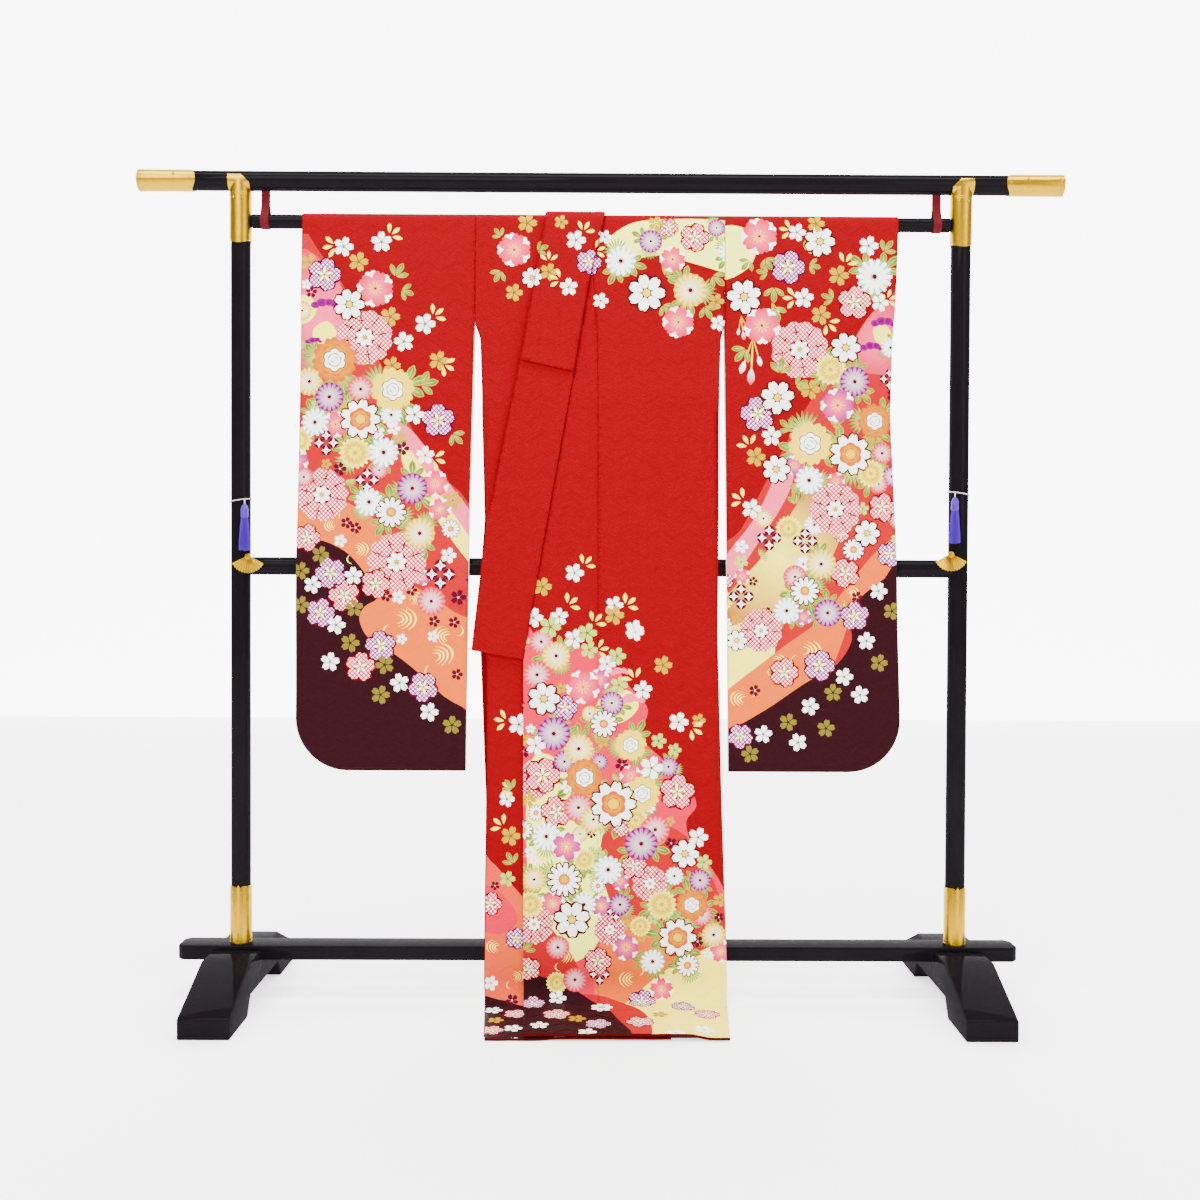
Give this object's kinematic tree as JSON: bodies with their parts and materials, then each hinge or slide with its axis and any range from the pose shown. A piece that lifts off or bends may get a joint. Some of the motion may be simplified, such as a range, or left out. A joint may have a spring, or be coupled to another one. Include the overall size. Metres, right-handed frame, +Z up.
{
  "type": "furisode kimono on a kimono rack",
  "caption": "Long-sleeved silk furisode kimono hung by its shoulders on the rod of a lacquered kimono rack with gilt fittings, its hem trailing forward on the floor.",
  "frame": {"origin": "bottom centre of the whole, on the floor midway between the posts", "axes": "+X to the right of someone facing the front, +Y from the front to the back, +Z up"},
  "size_m": [1.816, 0.5, 1.6301],
  "materials": {
    "red_silk": "printed figured silk crepe, soft satin sheen",
    "collar_silk": "figured red silk crepe, several layers",
    "hem_silk": "plain red silk, padded roll",
    "black_lacquer": "turned and planed wood, polished black lacquer",
    "gilt_metal": "thin gilt metal, lightly chased",
    "strap_cloth": "flat woven strap",
    "tassel_silk": "violet rayon strands",
    "silver_cord": "twisted silver-grey cord"
  },
  "bodies": {
    "root": {"body_left": "red_silk", "body_right": "red_silk", "overlap_left": "red_silk", "overlap_right": "red_silk", "sleeve_left": "red_silk", "sleeve_right": "red_silk", "collar_cover": "red_silk", "collar_over": "collar_silk", "collar_under": "collar_silk", "hem_roll_left": "hem_silk", "hem_roll_right": "hem_silk", "top_rail": "black_lacquer", "mid_rail": "black_lacquer", "base_rail": "black_lacquer", "hanging_rod": "black_lacquer", "post_left": "black_lacquer", "foot_left": "black_lacquer", "top_cap_left": "gilt_metal", "top_collar_left": "gilt_metal", "bottom_collar_left": "gilt_metal", "fan_left": "gilt_metal", "strap_left": "strap_cloth", "tassel_left": "tassel_silk", "tassel_cord_left": "silver_cord", "post_right": "black_lacquer", "foot_right": "black_lacquer", "top_cap_right": "gilt_metal", "top_collar_right": "gilt_metal", "bottom_collar_right": "gilt_metal", "fan_right": "gilt_metal", "strap_right": "strap_cloth", "tassel_right": "tassel_silk", "tassel_cord_right": "silver_cord"}
  },
  "joints": []
}
